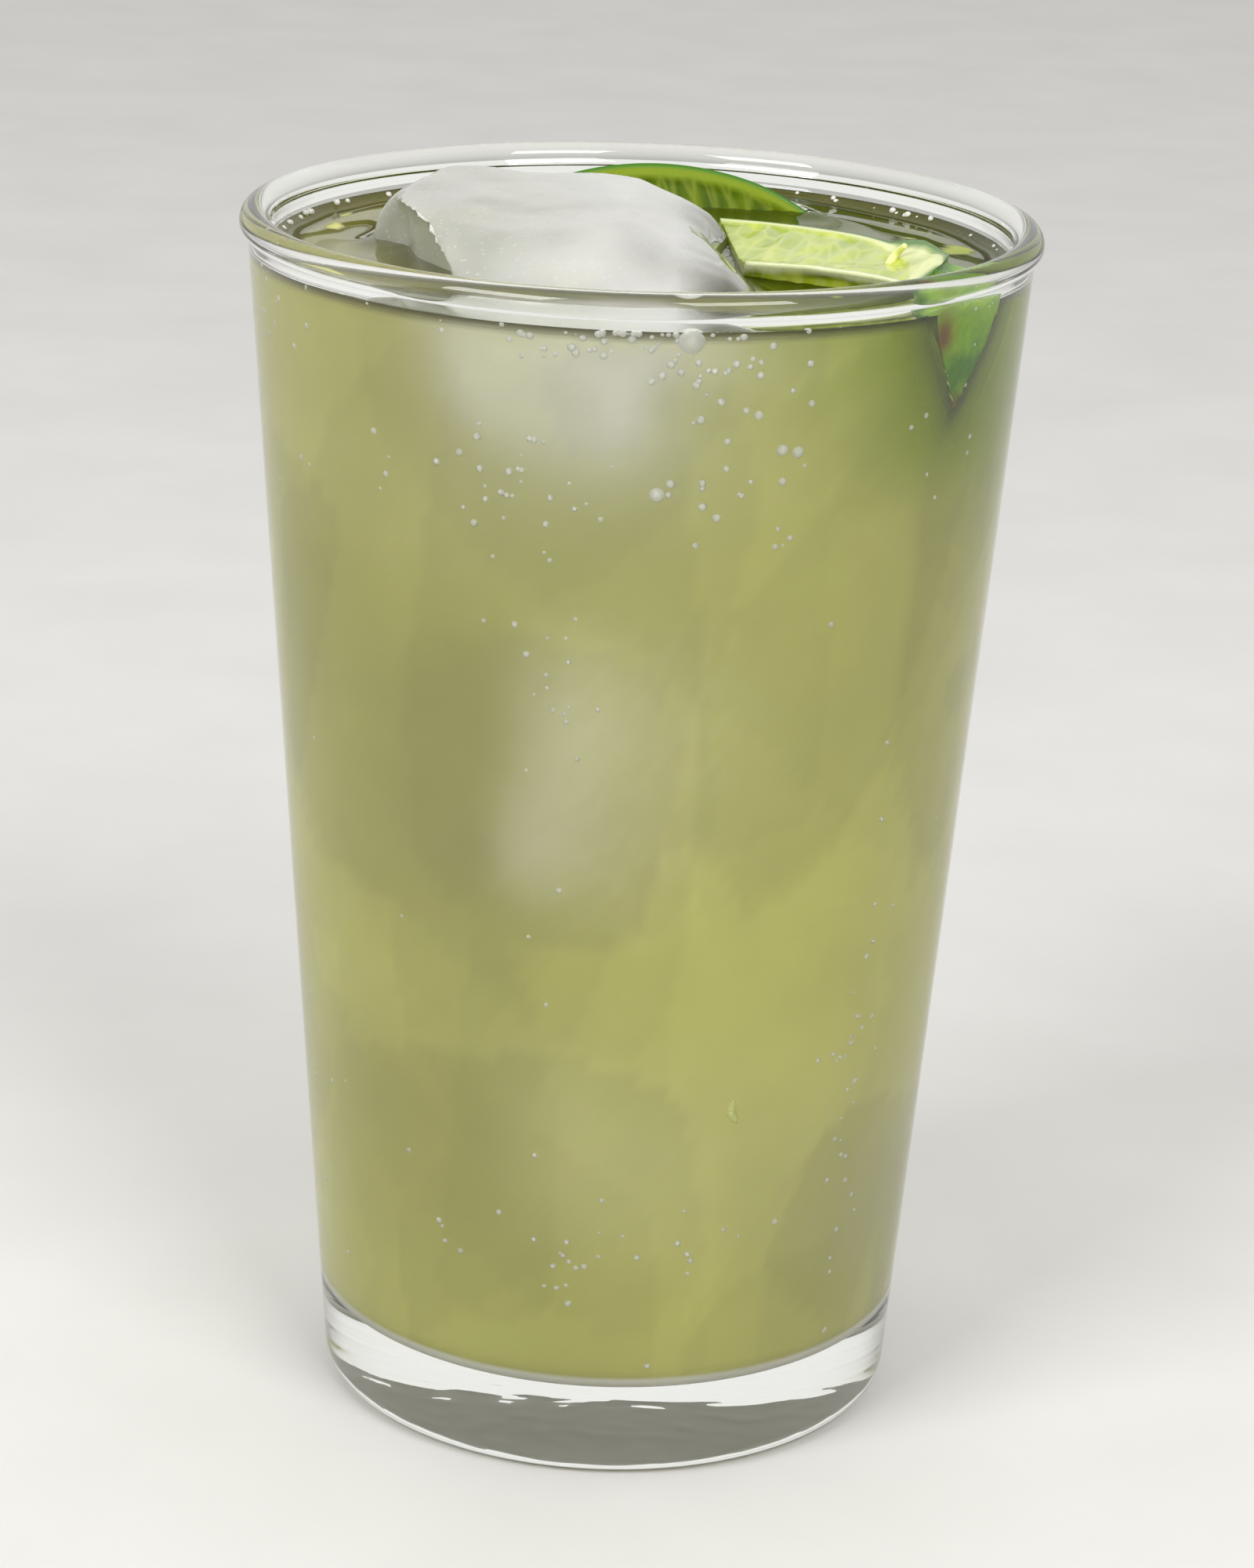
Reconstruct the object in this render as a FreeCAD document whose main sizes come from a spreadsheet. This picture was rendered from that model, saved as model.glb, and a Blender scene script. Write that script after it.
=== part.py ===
import FreeCAD
import Part
import math
import os
import Sketcher

# A cold lime drink in its tumbler. Millimetres, +Z up, origin at the centre of the foot.

SIZES = {
    # tumbler
    "glass_height": 120.0,
    "rim_radius": 37.9,
    "base_radius": 28.8,
    "wall": 2.1,
    "floor_thickness": 9.0,
    "heel_radius": 2.5,
    "floor_corner": 3.0,
    "bead_radius": 1.4,
    "foot_radius": 23.5,
    "foot_hollow": 0.8,
    # drink
    "head_space": 4.4,
    "fill_level": "=glass_height - head_space",
    "meniscus_rise": 0.9,
    "meniscus_bend": 3.0,
    "wall_gap": 0.05,
    # what floats is drawn for the usual mouth and shrinks or grows with the glass's own
    "usual_mouth": 35.8,
    "fit": "=(rim_radius - wall) / usual_mouth",
    # ice block that breaks the surface
    "ice_length": "=36 * fit",
    "ice_width": "=32 * fit",
    "ice_depth": "=25 * fit",
    "ice_draft": 3.0,
    "ice_round": "=7 * fit",
    "ice_out": "=5.2 * fit",
    "ice_across": "=-8.4 * fit",
    "ice_back": "=-1 * fit",
    "ice_turn": -12.0,
    "ice_dip": 5.5,
    # whole lime that both pieces were cut from
    "lime_radius": "=22.5 * fit",
    "lime_half_length": "=24.5 * fit",
    "lime_flank": "=31 * fit",
    # front chunk: a sixth of the lime, cut askew where the ice lies
    "chunk_angle": 60.0,
    "chunk_out": "=1.4 * fit",
    "chunk_across": "=6.1 * fit",
    "chunk_back": "=-9.5 * fit",
    "chunk_turn": -27.0,
    "chunk_past_ice": "=1.4 * fit",
    "chunk_cut_across": "=ice_across + ice_length / 2 + chunk_past_ice",
    "chunk_cut_turn": 5.0,
    # back wedge: a thin wedge standing on edge against the wall
    "wedge_angle": 30.0,
    "wedge_sunk": "=17.4 * fit",
    "wedge_across": "=1.5 * fit",
    "wedge_back": "=19.6 * fit",
    "wedge_turn": -3.5,
    "wedge_lean": 10.0,
}


def fill_sheet(doc):
    """Writes the sizes as a sheet of named cells and returns what each comes to."""
    sheet = doc.addObject("Spreadsheet::Sheet", "sizes")
    for row, (name, value) in enumerate(SIZES.items(), start=1):
        sheet.set("A%d" % row, name)
        sheet.set("B%d" % row, str(value))
        sheet.setAlias("B%d" % row, name)
    doc.recompute()
    return {name: float(sheet.get(name)) for name in SIZES}


def origin_plane(body, role):
    return next(item for item in body.Origin.OriginFeatures if item.Role == role)


def new_sketch(body, name, role):
    sketch = body.newObject("Sketcher::SketchObject", name)
    sketch.AttachmentSupport = [(origin_plane(body, role), "")]
    sketch.MapMode = "FlatFace"
    return sketch


def point(across, up):
    return FreeCAD.Vector(across, up, 0)


def line(start, end):
    return Part.LineSegment(point(*start), point(*end))


def arc(center, radius, first_angle, last_angle):
    circle = Part.Circle(point(*center), FreeCAD.Vector(0, 0, 1), radius)
    return Part.ArcOfCircle(circle, math.radians(first_angle), math.radians(last_angle))


def rule(sketch, *terms, to=None):
    index = sketch.addConstraint(Sketcher.Constraint(*terms))
    if to:
        sketch.setExpression("Constraints[%d]" % index, to)
    return index


def revolve(body, sketch, axis, angle):
    turn = body.newObject("PartDesign::Revolution", body.Label + "_turned")
    turn.Profile = sketch
    turn.ReferenceAxis = (sketch, [axis])
    if isinstance(angle, str):
        turn.setExpression("Angle", angle)
    else:
        turn.Angle = angle
    return turn


# sketch helpers: the origin, the two axes, and the ends of a curve
ORIGIN = (-1, 1)
ACROSS = -1
UPRIGHT = -2
START = 1
END = 2
MIDDLE = 3


def join(sketch, first, second):
    rule(sketch, "Coincident", *first, *second)


def smooth(sketch, first, second):
    rule(sketch, "Tangent", *first, *second)


def on(sketch, spot, curve):
    rule(sketch, "PointOnObject", *spot, curve)


def out_by(sketch, spot, value, formula):
    rule(sketch, "DistanceX", *ORIGIN, *spot, value, to=formula)


def up_by(sketch, spot, value, formula):
    rule(sketch, "DistanceY", *ORIGIN, *spot, value, to=formula)


def pin_line(sketch, curve, spots):
    for across, across_formula, up, up_formula in spots:
        mark = sketch.addGeometry(Part.Point(point(across, up)), True)
        out_by(sketch, (mark, START), across, across_formula)
        if up_formula:
            up_by(sketch, (mark, START), up, up_formula)
        else:
            on(sketch, (mark, START), ACROSS)
        on(sketch, (mark, START), curve)


class Taper:
    """The straight wall: its outside is pinned at foot and rim, its inside lies a wall further in."""

    def __init__(self, size):
        self.size = size
        self.lean = (size["rim_radius"] - size["base_radius"]) / size["glass_height"]
        self.slant = math.hypot(1, self.lean)
        self.angle = math.degrees(math.atan(self.lean))

    def outside(self, up):
        return self.size["base_radius"] + self.lean * up

    def inside(self, up):
        return self.outside(up) - self.size["wall"]

    def square_out(self, center, radius):
        return (center[0] + radius / self.slant, center[1] - radius * self.lean / self.slant)


def glass_profile(sketch, size):
    taper = Taper(size)
    hollow = size["foot_hollow"]
    foot = size["foot_radius"]
    dome = (foot ** 2 + hollow ** 2) / (2 * hollow)
    heel = size["heel_radius"]
    heel_center = (taper.outside(heel) - heel * taper.slant, heel)
    bead = size["bead_radius"]
    bead_up = size["glass_height"] - bead
    bead_center = (taper.inside(bead_up) + bead * taper.slant, bead_up)
    tuck = math.degrees(math.acos((size["wall"] / taper.slant - bead) / bead)) + taper.angle
    crease = (bead_center[0] + bead * math.cos(math.radians(tuck)),
              bead_center[1] - bead * math.sin(math.radians(tuck)))
    lip = taper.square_out(bead_center, -bead)
    floor = size["floor_thickness"]
    corner = size["floor_corner"]
    corner_center = (taper.inside(floor + corner) - corner * taper.slant, floor + corner)

    under = sketch.addGeometry(arc((0, hollow - dome), dome,
                                   math.degrees(math.asin((dome - hollow) / dome)), 90))
    foot_line = sketch.addGeometry(line((foot, 0), (heel_center[0], 0)))
    heel_arc = sketch.addGeometry(arc(heel_center, heel, -90, -taper.angle))
    outside = sketch.addGeometry(line(taper.square_out(heel_center, heel), crease))
    bead_arc = sketch.addGeometry(arc(bead_center, bead, -tuck, 180 - taper.angle))
    inside = sketch.addGeometry(line(lip, taper.square_out(corner_center, corner)))
    corner_arc = sketch.addGeometry(arc(corner_center, corner, -90, -taper.angle))
    floor_line = sketch.addGeometry(line((corner_center[0], floor), (0, floor)))
    axis = sketch.addGeometry(line((0, floor), (0, hollow)))

    join(sketch, (under, START), (foot_line, START))
    smooth(sketch, (foot_line, END), (heel_arc, START))
    smooth(sketch, (heel_arc, END), (outside, START))
    join(sketch, (outside, END), (bead_arc, START))
    smooth(sketch, (bead_arc, END), (inside, START))
    smooth(sketch, (inside, END), (corner_arc, END))
    smooth(sketch, (corner_arc, START), (floor_line, START))
    join(sketch, (floor_line, END), (axis, START))
    join(sketch, (axis, END), (under, END))
    on(sketch, (axis, START), UPRIGHT)
    on(sketch, (axis, END), UPRIGHT)
    on(sketch, (under, MIDDLE), UPRIGHT)
    on(sketch, (foot_line, START), ACROSS)
    rule(sketch, "Horizontal", foot_line)
    rule(sketch, "Horizontal", floor_line)
    out_by(sketch, (foot_line, START), foot, "sizes.foot_radius")
    up_by(sketch, (axis, END), hollow, "sizes.foot_hollow")
    up_by(sketch, (axis, START), floor, "sizes.floor_thickness")
    rule(sketch, "Radius", heel_arc, heel, to="sizes.heel_radius")
    rule(sketch, "Radius", corner_arc, corner, to="sizes.floor_corner")
    rule(sketch, "Radius", bead_arc, bead, to="sizes.bead_radius")
    up_by(sketch, (bead_arc, MIDDLE), bead_up, "sizes.glass_height - sizes.bead_radius")
    pin_line(sketch, outside, wall_marks(size, 0, ""))
    pin_line(sketch, inside, wall_marks(size, size["wall"], " - sizes.wall"))


def wall_marks(size, inward, formula):
    """Two marks that a wall line runs through: one at the foot's height, one at the rim's."""
    foot_mark = (size["base_radius"] - inward, "sizes.base_radius" + formula, 0, None)
    rim_mark = (size["rim_radius"] - inward, "sizes.rim_radius" + formula,
                size["glass_height"], "sizes.glass_height")
    return (foot_mark, rim_mark)


def make_glass(doc, size):
    body = doc.addObject("PartDesign::Body", "glass")
    body.Label = "glass"
    sketch = new_sketch(body, "glass_profile", "XZ_Plane")
    glass_profile(sketch, size)
    revolve(body, sketch, "V_Axis", 360)
    return body


def fill_profile(sketch, size):
    """What the tumbler holds: the inner corner, the wall and a surface that climbs at the wall."""
    taper = Taper(size)
    gap = size["wall_gap"]
    floor = size["floor_thickness"] + gap
    corner = size["floor_corner"]
    corner_up = floor + corner
    corner_center = (taper.inside(corner_up) - gap - corner * taper.slant, corner_up)
    level = size["fill_level"]
    rise = size["meniscus_rise"]
    bend = size["meniscus_bend"]
    rim = (taper.inside(level + rise) - gap, level + rise)
    reach = math.sqrt(bend ** 2 - (bend - rise) ** 2)
    bend_center = (rim[0] - reach, level + bend)
    climb = math.degrees(math.asin((rise - bend) / bend))

    floor_line = sketch.addGeometry(line((0, floor), (corner_center[0], floor)))
    corner_arc = sketch.addGeometry(arc(corner_center, corner, -90, -taper.angle))
    side = sketch.addGeometry(line(taper.square_out(corner_center, corner), rim))
    meniscus = sketch.addGeometry(arc(bend_center, bend, -90, climb))
    surface = sketch.addGeometry(line((bend_center[0], level), (0, level)))
    axis = sketch.addGeometry(line((0, level), (0, floor)))

    smooth(sketch, (floor_line, END), (corner_arc, START))
    smooth(sketch, (corner_arc, END), (side, START))
    join(sketch, (side, END), (meniscus, END))
    smooth(sketch, (meniscus, START), (surface, START))
    join(sketch, (surface, END), (axis, START))
    join(sketch, (axis, END), (floor_line, START))
    on(sketch, (axis, START), UPRIGHT)
    on(sketch, (axis, END), UPRIGHT)
    rule(sketch, "Horizontal", floor_line)
    rule(sketch, "Horizontal", surface)
    up_by(sketch, (axis, END), floor, "sizes.floor_thickness + sizes.wall_gap")
    up_by(sketch, (axis, START), level, "sizes.fill_level")
    up_by(sketch, (side, END), level + rise, "sizes.fill_level + sizes.meniscus_rise")
    rule(sketch, "Radius", corner_arc, corner, to="sizes.floor_corner")
    rule(sketch, "Radius", meniscus, bend, to="sizes.meniscus_bend")
    pin_line(sketch, side, wall_marks(size, size["wall"] + gap, " - sizes.wall - sizes.wall_gap"))


def make_fill(doc, size):
    body = doc.addObject("PartDesign::Body", "fill")
    body.Label = "fill"
    sketch = new_sketch(body, "fill_profile", "XZ_Plane")
    fill_profile(sketch, size)
    revolve(body, sketch, "V_Axis", 360)
    return body


def place(item, size, prefix, up_formula, up, turn):
    """Puts a piece at its named place across and back in the glass, with the given turn."""
    base = FreeCAD.Vector(size[prefix + "_across"], size[prefix + "_back"], up)
    item.Placement = FreeCAD.Placement(base, turn)
    item.setExpression("Placement.Base.x", "sizes." + prefix + "_across")
    item.setExpression("Placement.Base.y", "sizes." + prefix + "_back")
    item.setExpression("Placement.Base.z", up_formula)


def make_ice(doc, size):
    """A tray cube gone round at every edge, its narrow end down, dipping to one side."""
    body = doc.addObject("PartDesign::Body", "ice")
    body.Label = "ice"
    sketch = new_sketch(body, "ice_top", "XY_Plane")
    half_long = size["ice_length"] / 2
    half_wide = size["ice_width"] / 2
    corners = [(-half_long, -half_wide), (half_long, -half_wide),
               (half_long, half_wide), (-half_long, half_wide)]
    sides = [sketch.addGeometry(line(corners[i], corners[(i + 1) % 4])) for i in range(4)]
    for i in range(4):
        join(sketch, (sides[i], END), (sides[(i + 1) % 4], START))
        rule(sketch, "Horizontal" if i % 2 == 0 else "Vertical", sides[i])
    rule(sketch, "Symmetric", sides[0], START, sides[2], START, *ORIGIN)
    rule(sketch, "DistanceX", sides[0], START, sides[0], END, 2 * half_long, to="sizes.ice_length")
    rule(sketch, "DistanceY", sides[1], START, sides[1], END, 2 * half_wide, to="sizes.ice_width")
    block = body.newObject("PartDesign::Pad", "ice_block")
    block.Profile = sketch
    block.Reversed = True
    block.setExpression("Length", "sizes.ice_depth")
    block.TaperAngle = -size["ice_draft"]
    block.setExpression("TaperAngle", "-sizes.ice_draft")
    doc.recompute()
    melt = body.newObject("PartDesign::Fillet", "ice_melt")
    melt.Base = (block, ["Edge%d" % (i + 1) for i in range(len(block.Shape.Edges))])
    melt.setExpression("Radius", "sizes.ice_round")
    turn = FreeCAD.Rotation(size["ice_turn"], size["ice_dip"], 0)
    place(body, size, "ice", "sizes.fill_level + sizes.ice_out", size["fill_level"] + size["ice_out"], turn)
    return body


def lime_profile(sketch, size):
    """Half the outline of a lime along its core: a long flank and two tighter, blunt ends."""
    radius = size["lime_radius"]
    half = size["lime_half_length"]
    flank = size["lime_flank"]
    drop = flank - radius
    end_place = ((flank - half) ** 2 - drop ** 2) / (2 * (half - flank))
    end_radius = half - end_place
    meet = math.degrees(math.atan2(drop, end_place))

    right = sketch.addGeometry(arc((end_place, 0), end_radius, 0, meet))
    top = sketch.addGeometry(arc((0, -drop), flank, meet, 180 - meet))
    left = sketch.addGeometry(arc((-end_place, 0), end_radius, 180 - meet, 180))
    core = sketch.addGeometry(line((-half, 0), (half, 0)))

    smooth(sketch, (right, END), (top, START))
    smooth(sketch, (top, END), (left, START))
    join(sketch, (left, END), (core, START))
    join(sketch, (core, END), (right, START))
    on(sketch, (core, START), ACROSS)
    on(sketch, (right, MIDDLE), ACROSS)
    on(sketch, (left, MIDDLE), ACROSS)
    on(sketch, (top, MIDDLE), UPRIGHT)
    rule(sketch, "Symmetric", core, START, core, END, *ORIGIN)
    rule(sketch, "Radius", top, flank, to="sizes.lime_flank")
    rule(sketch, "DistanceX", core, START, core, END, 2 * half, to="2 * sizes.lime_half_length")
    rule(sketch, "DistanceY", top, MIDDLE, *ORIGIN, drop, to="sizes.lime_flank - sizes.lime_radius")


def make_lime_piece(doc, size, name, angle):
    """A wedge is the lime's half outline turned about its core by the wedge's own angle."""
    body = doc.addObject("PartDesign::Body", name)
    body.Label = name
    sketch = new_sketch(body, name + "_profile", "XZ_Plane")
    lime_profile(sketch, size)
    revolve(body, sketch, "H_Axis", "sizes." + angle)
    return body


def make_chunk(doc, size):
    """The front piece lies with one cut face up, its core edge to the front, cut askew at the left."""
    wedge = make_lime_piece(doc, size, "chunk_wedge", "chunk_angle")
    face_up = FreeCAD.Rotation(size["chunk_turn"], 0, 270 - size["chunk_angle"])
    level = size["fill_level"] + size["chunk_out"]
    place(wedge, size, "chunk", "sizes.fill_level + sizes.chunk_out", level, face_up)
    knife = doc.addObject("Part::Box", "knife")
    for side in ("Length", "Width", "Height"):
        knife.setExpression(side, "4 * sizes.lime_half_length")
    half_turn = 180
    turn = FreeCAD.Rotation(half_turn + size["chunk_cut_turn"], 0, 0)
    knife.Placement = FreeCAD.Placement(FreeCAD.Vector(0, 0, 0), turn)
    swing = "2 * sizes.lime_half_length * %s(sizes.chunk_cut_turn)"
    knife.setExpression("Placement.Base.x", "sizes.chunk_cut_across - " + swing % "sin")
    knife.setExpression("Placement.Base.y", swing % "cos")
    knife.setExpression("Placement.Base.z",
                        "sizes.fill_level + sizes.chunk_out - 2 * sizes.lime_half_length")
    chunk = doc.addObject("Part::Cut", "lime_chunk")
    chunk.Label = "lime_chunk"
    chunk.Base = wedge
    chunk.Tool = knife
    return chunk


def make_back_wedge(doc, size):
    """The back piece stands on edge, one cut face to the front, leaning on the wall."""
    body = make_lime_piece(doc, size, "lime_back", "wedge_angle")
    turn = FreeCAD.Rotation(size["wedge_turn"], 0, -size["wedge_lean"] - size["wedge_angle"])
    up = size["fill_level"] - size["wedge_sunk"]
    place(body, size, "wedge", "sizes.fill_level - sizes.wedge_sunk", up, turn)
    return body


def make_drink(doc, size, floating):
    """The drink wets what floats in it: it is cut round the pieces face to face."""
    afloat = doc.addObject("Part::MultiFuse", "afloat")
    afloat.Shapes = floating
    drink = doc.addObject("Part::Cut", "drink")
    drink.Label = "drink"
    drink.Base = make_fill(doc, size)
    drink.Tool = afloat
    return drink


def check(doc):
    for item in doc.Objects:
        broken = "Invalid" in item.State or "Error" in item.State
        if item.isDerivedFrom("Part::Feature"):
            broken = broken or item.Shape.isNull() or not item.Shape.isValid()
        if broken:
            raise RuntimeError(item.Label + " did not build")


def export(pieces):
    os.makedirs("parts", exist_ok=True)
    for piece in pieces:
        piece.Shape.exportStep("parts/%s.step" % piece.Label)


def main():
    doc = FreeCAD.newDocument("paloma")
    size = fill_sheet(doc)
    glass = make_glass(doc, size)
    ice = make_ice(doc, size)
    chunk = make_chunk(doc, size)
    back = make_back_wedge(doc, size)
    doc.recompute()
    drink = make_drink(doc, size, [ice, chunk, back])
    doc.recompute()
    check(doc)
    export([glass, drink, ice, chunk, back])


main()
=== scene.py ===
import math
import random

import bmesh
import bpy
import numpy as np
from mathutils import Matrix, Vector, noise
from mathutils.bvhtree import BVHTree


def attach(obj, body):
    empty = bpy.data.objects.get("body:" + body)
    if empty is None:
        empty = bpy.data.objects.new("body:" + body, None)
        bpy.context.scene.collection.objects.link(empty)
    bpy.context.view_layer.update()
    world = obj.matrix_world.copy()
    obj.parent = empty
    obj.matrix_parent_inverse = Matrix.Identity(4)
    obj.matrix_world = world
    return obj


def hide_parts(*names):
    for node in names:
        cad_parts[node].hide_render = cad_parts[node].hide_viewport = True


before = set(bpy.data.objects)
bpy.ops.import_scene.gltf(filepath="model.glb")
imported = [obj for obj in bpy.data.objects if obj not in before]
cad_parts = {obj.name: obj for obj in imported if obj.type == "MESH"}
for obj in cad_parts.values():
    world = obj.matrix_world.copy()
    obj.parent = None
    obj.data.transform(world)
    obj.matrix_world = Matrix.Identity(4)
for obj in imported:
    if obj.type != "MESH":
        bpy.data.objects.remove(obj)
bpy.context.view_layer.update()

# ---------------------------------------------------------------- sizes, in millimetres as in the solids

MM = 0.001
GLASS_HEIGHT = 120.0
RIM_RADIUS = 37.9
BASE_RADIUS = 28.8
WALL = 2.1
FLOOR = 9.0
HEEL = 2.5
FLOOR_CORNER = 3.0
BEAD = 1.4
FOOT_RADIUS = 23.5
FOOT_HOLLOW = 0.8
# the drink's surface, how high it climbs at the wall and the radius of that curve
LEVEL = 115.6
RISE = 0.9
BEND = 3.0
# the drink's skin lies this far in the glass, so that no air shows between them
INTO_WALL = 0.06

LIME_RADIUS = 22.5
LIME_HALF = 24.5
LIME_FLANK = 31.0
CHUNK = dict(angle=60.0, at=(6.1, -9.5, LEVEL + 1.4), turn=-27.0, roll=210.0)
CHUNK_CUT_X = 8.8
CHUNK_CUT_TURN = 5.0
BACK = dict(angle=30.0, at=(1.5, 19.6, LEVEL - 17.4), turn=-3.5, roll=-40.0)

# facets round the glass, along a wedge of lime and from its core to its peel
TURNS = 200
WEDGE_ALONG = 150
WEDGE_ACROSS = 46

LEAN = (RIM_RADIUS - BASE_RADIUS) / GLASS_HEIGHT
SLANT = math.hypot(1, LEAN)
TAPER = math.atan(LEAN)


def outside(up):
    return BASE_RADIUS + LEAN * up


def inside(up):
    return outside(up) - WALL


def unit(value):
    """A number held between 0 and 1."""
    return max(0.0, min(1.0, value))


def rising(values, start, width):
    """For an array: 0 up to the start, then rising to 1 over the width."""
    return np.clip((values - start) / width, 0, 1)


# ---------------------------------------------------------------- mesh helpers

def put(name, points, faces, smooth=True):
    """A new object from points in millimetres."""
    mesh = bpy.data.meshes.new(name)
    mesh.from_pydata([tuple(c * MM for c in p) for p in points], [], faces)
    mesh.validate()
    if smooth:
        mesh.polygons.foreach_set("use_smooth", [True] * len(mesh.polygons))
    mesh.update()
    obj = bpy.data.objects.new(name, mesh)
    bpy.context.scene.collection.objects.link(obj)
    return obj


def points_of(obj):
    """An object's points in millimetres."""
    flat = np.empty(len(obj.data.vertices) * 3)
    obj.data.vertices.foreach_get("co", flat)
    return flat.reshape(-1, 3) / MM


def normals_of(obj):
    flat = np.empty(len(obj.data.vertices) * 3)
    obj.data.vertex_normals.foreach_get("vector", flat)
    return flat.reshape(-1, 3)


def move_points(obj, points):
    obj.data.vertices.foreach_set("co", (points * MM).ravel())
    obj.data.update()


def tree_of(obj):
    faces = [tuple(f.vertices) for f in obj.data.polygons]
    return BVHTree.FromPolygons([tuple(p) for p in points_of(obj)], faces)


def value_layer(obj, name, values):
    """Writes one number for each point, for a material to read."""
    layer = obj.data.attributes.new(name, "FLOAT", "POINT")
    layer.data.foreach_set("value", np.asarray(values, dtype=np.float32))


def place_layer(obj, name, places):
    layer = obj.data.attributes.new(name, "FLOAT_VECTOR", "POINT")
    layer.data.foreach_set("vector", np.asarray(places, dtype=np.float32).ravel())


def colour_layer(obj, name, colours):
    layer = obj.data.color_attributes.new(name, "FLOAT_COLOR", "POINT")
    full = np.ones((len(colours), 4), dtype=np.float32)
    full[:, :3] = colours
    layer.data.foreach_set("color", full.ravel())


def arc_point(center, radius, angle):
    """The point (r, z) of a circle at an angle in degrees."""
    a = math.radians(angle)
    return (center[0] + radius * math.cos(a), center[1] + radius * math.sin(a))


def arc_points(center, radius, first, last, steps):
    """Points (r, z) along an arc; angles in degrees."""
    return [arc_point(center, radius, first + (last - first) * i / steps) for i in range(steps + 1)]


def between(start, end, steps):
    """Points from start to end, without the end itself."""
    return [(start[0] + (end[0] - start[0]) * i / steps, start[1] + (end[1] - start[1]) * i / steps)
            for i in range(steps)]


def ring_faces(rows, turns, first, last, base):
    """Faces of a closed skin: an end point, rows of points from base on, and another end point."""
    faces = []
    for k in range(turns):
        n = (k + 1) % turns
        faces.append((first, base + n, base + k))
        for i in range(rows - 1):
            a, b = base + i * turns, base + (i + 1) * turns
            faces.append((a + k, a + n, b + n, b + k))
        a = base + (rows - 1) * turns
        faces.append((a + k, a + n, last))
    return faces


def lathe(name, profile, turns):
    """Turns a profile whose first and last points lie on the axis."""
    points = [(0, 0, profile[0][1])]
    for r, z in profile[1:-1]:
        for k in range(turns):
            a = 2 * math.pi * k / turns
            points.append((r * math.cos(a), r * math.sin(a), z))
    points.append((0, 0, profile[-1][1]))
    return put(name, points, ring_faces(len(profile) - 2, turns, 0, len(points) - 1, 1))


def wander(p, scale, seed=0.0):
    """Smooth noise from -1 to 1 at a point in millimetres; scale is the size of its lumps."""
    return noise.noise(Vector((p[0] / scale + seed, p[1] / scale - seed, p[2] / scale + 2 * seed)))


# ---------------------------------------------------------------- materials

class Paint:
    """A node tree with one Principled shader, and short ways to add to it."""

    def __init__(self, name):
        self.material = bpy.data.materials.new(name)
        self.material.use_nodes = True
        self.tree = self.material.node_tree
        self.shader = self.tree.nodes["Principled BSDF"]
        self.out = self.tree.nodes["Material Output"]

    def node(self, kind, **settings):
        n = self.tree.nodes.new(kind)
        for key, value in settings.items():
            setattr(n, key, value)
        return n

    def link(self, source, target):
        self.tree.links.new(source, target)

    def feed(self, source, socket):
        """Links a value or colour to one of the shader's sockets."""
        self.link(source, self.shader.inputs[socket])

    def set(self, **values):
        """Constant values on the shader's own sockets."""
        for key, value in values.items():
            self.shader.inputs[key.replace("_", " ")].default_value = value

    def object_place(self, scale=(1.0, 1.0, 1.0)):
        place = self.node("ShaderNodeTexCoord")
        size = self.node("ShaderNodeMapping")
        size.inputs["Scale"].default_value = scale
        self.link(place.outputs["Object"], size.inputs["Vector"])
        return size.outputs["Vector"]

    def noise(self, place, scale, detail=3.0, rough=0.5):
        n = self.node("ShaderNodeTexNoise")
        n.inputs["Scale"].default_value = scale
        n.inputs["Detail"].default_value = detail
        n.inputs["Roughness"].default_value = rough
        self.link(place, n.inputs["Vector"])
        return n.outputs["Fac"]

    def cells(self, place, scale, feature="F1"):
        n = self.node("ShaderNodeTexVoronoi", feature=feature)
        n.inputs["Scale"].default_value = scale
        self.link(place, n.inputs["Vector"])
        return n.outputs["Distance"]

    def ramp(self, source, stops):
        n = self.node("ShaderNodeValToRGB")
        while len(n.color_ramp.elements) < len(stops):
            n.color_ramp.elements.new(0.5)
        for element, (spot, colour) in zip(n.color_ramp.elements, stops):
            element.position = spot
            element.color = (*colour, 1)
        self.link(source, n.inputs["Fac"])
        return n.outputs["Color"]

    def span(self, source, low, high, to_low, to_high):
        """Carries low to high over to another span, and holds it there."""
        n = self.node("ShaderNodeMapRange")
        for key, value in (("From Min", low), ("From Max", high), ("To Min", to_low), ("To Max", to_high)):
            n.inputs[key].default_value = value
        self.link(source, n.inputs["Value"])
        return n.outputs["Result"]

    def math(self, how, first, second):
        n = self.node("ShaderNodeMath", operation=how)
        for socket, value in zip(n.inputs, (first, second)):
            if isinstance(value, (int, float)):
                socket.default_value = value
            else:
                self.link(value, socket)
        return n.outputs["Value"]

    def mix(self, factor, first, second, how="MIX"):
        n = self.node("ShaderNodeMix", data_type="RGBA", blend_type=how)
        for key, value in ((0, factor), (6, first), (7, second)):
            if isinstance(value, (int, float)):
                n.inputs[key].default_value = value
            elif isinstance(value, tuple):
                n.inputs[key].default_value = (*value, 1)
            else:
                self.link(value, n.inputs[key])
        return n.outputs[2]

    def layer(self, name, kind="Fac"):
        """A layer that the mesh carries, as a value (Fac), a Color or a Vector."""
        return self.node("ShaderNodeAttribute", attribute_name=name).outputs[kind]

    def bump(self, height, strength, depth):
        n = self.node("ShaderNodeBump")
        n.inputs["Strength"].default_value = strength
        n.inputs["Distance"].default_value = depth
        self.link(height, n.inputs["Height"])
        self.feed(n.outputs["Normal"], "Normal")

    def absorb(self, colour, density):
        n = self.node("ShaderNodeVolumeAbsorption")
        n.inputs["Color"].default_value = (*colour, 1)
        n.inputs["Density"].default_value = density
        self.link(n.outputs["Volume"], self.out.inputs["Volume"])


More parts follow.
